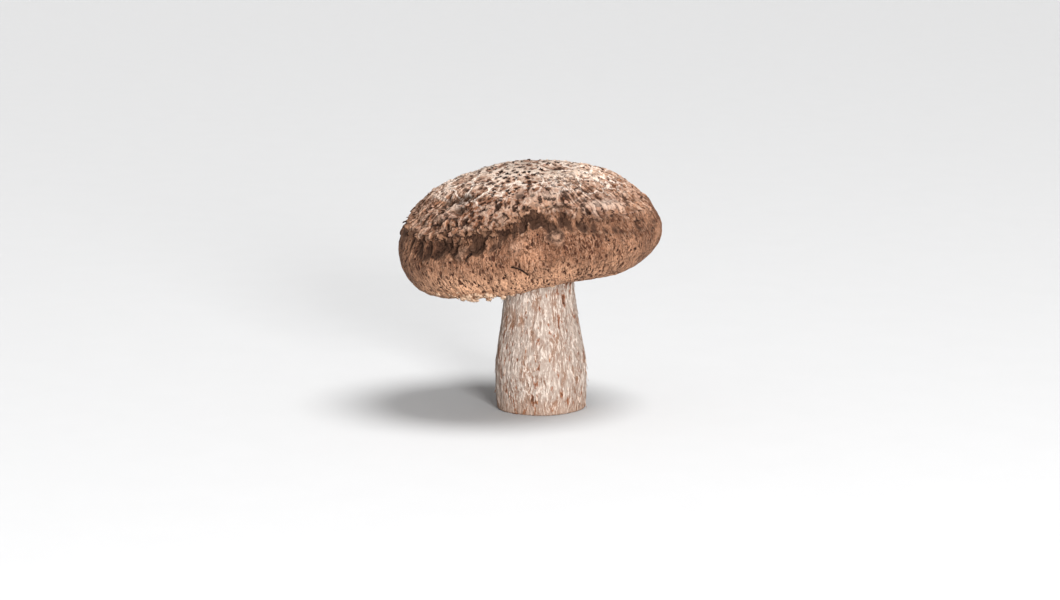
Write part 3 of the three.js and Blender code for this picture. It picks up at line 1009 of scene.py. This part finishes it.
def stem_relief_tree():
    """Lengthwise ridges and fine fibres on the stem. The cut face stays flat."""
    tree, given = grower("stem relief", {
        "Ridge height": "Float", "Fibre height": "Float", "Material": "Material",
    })
    place = tree.read("skin", True)
    free = tree.read("free")
    ridges = tree.noise(tree.warped(place, 9.0, 3.0).stretched(1, 1, 0.12), 3.2, 2.0, 0.5) - 0.5
    fibres = tree.noise(tree.warped(place, 5.0, 1.5).stretched(1, 1, 0.09), 0.9, 3.0, 0.6) - 0.5
    lumps = tree.noise(place, 7.0, 2.0) - 0.5
    height = (ridges * 2.0 + lumps * 1.2) * given("Ridge height") + fibres * 2.0 * given("Fibre height")
    normal = tree.add("GeometryNodeInputNormal", {})
    moved = tree.add("GeometryNodeSetPosition", {
        "Geometry": given("Geometry"), "Offset": normal.vector("SCALE", height * free),
    })
    close_tree(tree, moved, given("Material"))
    return tree.tree


def put_on(piece, slot, *nodes):
    """The piece rides on the mushroom's one body and stands for the nodes, which it hides; the slot is not
    used.
    """
    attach(piece, "root")
    if nodes:
        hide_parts(*nodes)


def discard(*pieces):
    for piece in pieces:
        bpy.data.objects.remove(piece)


def make_cap(scatter):
    base, like = cap_base()
    cap = grown("cap_skin", base, relief_tree(), {
        "Vein height": 0.25 * MM, "Scale height": 0.5 * MM, "Lump height": 1.5 * MM,
        "Fibril height": 0.25 * MM, "Fold height": 1.5 * MM, "Cleft depth": 1.3 * MM,
        "Scallop depth": 2.0 * MM, "Material": cap_skin(),
    })
    put_on(cap, "cap_skin", "cap")
    scale_look = scale_skin("scale skin", colour(0.28, 0.16, 0.11), colour(0.03, 0.012, 0.008))
    flake_look = scale_skin("flake skin", colour(0.19, 0.1, 0.06), colour(0.03, 0.013, 0.008))
    shred_look = scale_skin("veil skin", colour(0.25, 0.13, 0.075), colour(0.52, 0.35, 0.24))
    scale = leaf("scale", scale_look, width=0.85, thickness=0.13, curl=0.12, ragged=0.12,
                 along_steps=4, across_steps=3)
    flake = leaf("flake", flake_look, width=1.4, thickness=0.14, curl=0.2, ragged=0.25,
                 along_steps=4, across_steps=5)
    shred = leaf("shred", shred_look, width=0.9, thickness=0.1, curl=0.15, ragged=0.35,
                 along_steps=5, across_steps=4)
    kinds = [
        ("cap_scales", "cap_scales", scale, {
            "Where": "scaly", "Spacing": 2.6 * MM, "Density": 1.2e5,
            "Smallest": 1.3 * MM, "Largest": 2.6 * MM, "Twist": 0.9, "Lift": 0.2, "Seed": 11,
            "Material": scale_look,
        }),
        ("shoulder_flakes", "cap_scales", flake, {
            "Where": "flaky", "Spacing": 2.2 * MM, "Density": 2e5,
            "Smallest": 1.6 * MM, "Largest": 3.0 * MM, "Twist": 1.3, "Lift": 0.4, "Seed": 23,
            "Material": flake_look,
        }),
        ("margin_veil", "veil_shreds", shred, {
            "Where": "shreds", "Spacing": 1.3 * MM, "Density": 5e5,
            "Smallest": 1.4 * MM, "Largest": 3.4 * MM, "Twist": 0.9, "Lift": 0.22, "Seed": 37,
            "Material": shred_look,
        }),
    ]
    for name, slot, shape, values in kinds:
        piece = grown(name, base, scatter, {"Piece": shape, **values})
        put_on(piece, slot)
    discard(base, scale, flake, shred)
    return like


def make_gills(like):
    flesh = gill_flesh()
    plates = [gill_plate(f"plate_{number}", flesh, start) for number, start in enumerate(GILL_STARTS)]
    carrier = mesh_piece("gill_carrier", np.zeros((1, 3)), [])
    gills = grown("gill_plates", carrier, gill_ring_tree(), {
        "Plates": GILL_PLATES, "Wander": 0.16, "Ripple": 0.9, "Seed": 5, "Material": flesh,
        **{f"Plate {number}": plate for number, plate in enumerate(plates)},
    })
    places = np.zeros(len(gills.data.vertices) * 3)
    gills.data.vertices.foreach_get("co", places)
    x, y, z = places.reshape(-1, 3).T
    points = on_cap(np.hypot(x, y), np.arctan2(y, x), z)
    gills.data.vertices.foreach_set("co", seated(points, like, "cap").astype(np.float32).ravel())
    gills.data.update()
    remember(gills, "skin", points)
    put_on(gills, "gill_plates", "gills")
    discard(carrier, *plates)


def make_stem(scatter):
    base = stem_base()
    stem = grown("stem_skin", base, stem_relief_tree(), {
        "Ridge height": 0.5 * MM, "Fibre height": 0.2 * MM, "Material": stem_skin(),
    })
    put_on(stem, "stem_skin", "stem")
    fibre_look = scale_skin("fibre skin", colour(0.56, 0.43, 0.35), colour(0.28, 0.13, 0.07))
    fibre = leaf("fibre", fibre_look, width=0.16, thickness=0.07, curl=0.12, ragged=0.1,
                 along_steps=5, across_steps=2)
    fibres = grown("stem_fibres", base, scatter, {
        "Piece": fibre, "Where": "fuzzy", "Spacing": 3.0 * MM, "Density": 4e4, "Smallest": 1.5 * MM,
        "Largest": 4.0 * MM, "Twist": 0.35, "Lift": 0.14, "Seed": 53, "Material": fibre_look,
    })
    put_on(fibres, "stem_fibres")
    discard(base, fibre)


# ---------------------------------------------------------------- studio

AIM = Vector((-4.0, 0.0, 39.5)) * MM
CAMERA_DISTANCE = 1.0
CAMERA_ELEVATION = math.radians(10)
LENS = 94.2
FLOOR_RINGS = (0.3, 1.0, 2.0)
FLOOR_RADIUS = 3.0           # of the flat floor, where the paper starts to sweep up
SWEEP_RADIUS = 1.5
WALL_HEIGHT = 2.0
FLOOR_SEGMENTS = 96


def make_camera():
    data = bpy.data.cameras.new("camera")
    data.lens = LENS
    data.sensor_width = 36.0
    data.clip_start = 0.01
    data.clip_end = 50.0
    camera = bpy.data.objects.new("camera", data)
    back = Vector((0, -math.cos(CAMERA_ELEVATION), math.sin(CAMERA_ELEVATION)))
    camera.location = AIM + back * CAMERA_DISTANCE
    camera.rotation_euler = (-back).to_track_quat("-Z", "Y").to_euler()
    bpy.context.scene.collection.objects.link(camera)
    bpy.context.scene.camera = camera


def make_floor():
    """A round sheet of paper that sweeps up far from the mushroom on every side."""
    turn = np.linspace(0, math.pi / 2, 13)
    wall = FLOOR_RADIUS + SWEEP_RADIUS
    radius = np.concatenate([FLOOR_RINGS, FLOOR_RADIUS + SWEEP_RADIUS * np.sin(turn), [wall]])
    flat = np.zeros(len(FLOOR_RINGS))
    z = np.concatenate([flat, SWEEP_RADIUS * (1 - np.cos(turn)), [SWEEP_RADIUS + WALL_HEIGHT]])
    angle = np.linspace(0, 2 * math.pi, FLOOR_SEGMENTS, endpoint=False)
    rings = np.stack([
        np.outer(radius, np.cos(angle)),
        np.outer(radius, np.sin(angle)),
        np.outer(z, np.ones(FLOOR_SEGMENTS)),
    ], axis=-1)
    at = np.arange(len(radius) * FLOOR_SEGMENTS).reshape(len(radius), FLOOR_SEGMENTS)
    nxt = np.roll(at, -1, axis=1)
    faces = np.stack([at[:-1], nxt[:-1], nxt[1:], at[1:]], axis=-1)[:, :, ::-1].reshape(-1, 4).tolist()
    faces.append(at[0].tolist())
    floor = mesh_piece("studio_floor", rings.reshape(-1, 3), faces, studio_paper())


def make_sun(name, towards, strength, spread):
    """Even light from far away, as from a big soft box: spread is its width in degrees."""
    data = bpy.data.lights.new(name, "SUN")
    data.energy = strength
    data.angle = math.radians(spread)
    light = bpy.data.objects.new(name, data)
    light.rotation_euler = (-Vector(towards)).to_track_quat("-Z", "Y").to_euler()
    bpy.context.scene.collection.objects.link(light)


def make_soft_box(name, place, size, power):
    """A square soft light that faces the mushroom."""
    data = bpy.data.lights.new(name, "AREA")
    data.size = size
    data.energy = power
    light = bpy.data.objects.new(name, data)
    light.location = place
    light.visible_camera = False
    light.rotation_euler = (AIM - Vector(place)).to_track_quat("-Z", "Y").to_euler()
    bpy.context.scene.collection.objects.link(light)


def make_world(strength):
    """Even white light from all round."""
    world = bpy.data.worlds.new("studio")
    world.use_nodes = True
    background = world.node_tree.nodes["Background"]
    background.inputs["Color"].default_value = colour(1.0, 1.0, 1.0)
    background.inputs["Strength"].default_value = strength
    bpy.context.scene.world = world
    bpy.context.scene.view_settings.view_transform = "Standard"


make_camera()
scatter_pieces = scatter_tree()
cap_shape = make_cap(scatter_pieces)
make_gills(cap_shape)
make_stem(scatter_pieces)
make_floor()
make_sun("top", towards=(0.3, -0.1, 1.0), strength=3.65, spread=32)
make_soft_box("key", place=(0.4, -1.4, 0.35), size=0.4, power=36.0)
make_world(strength=0.485)
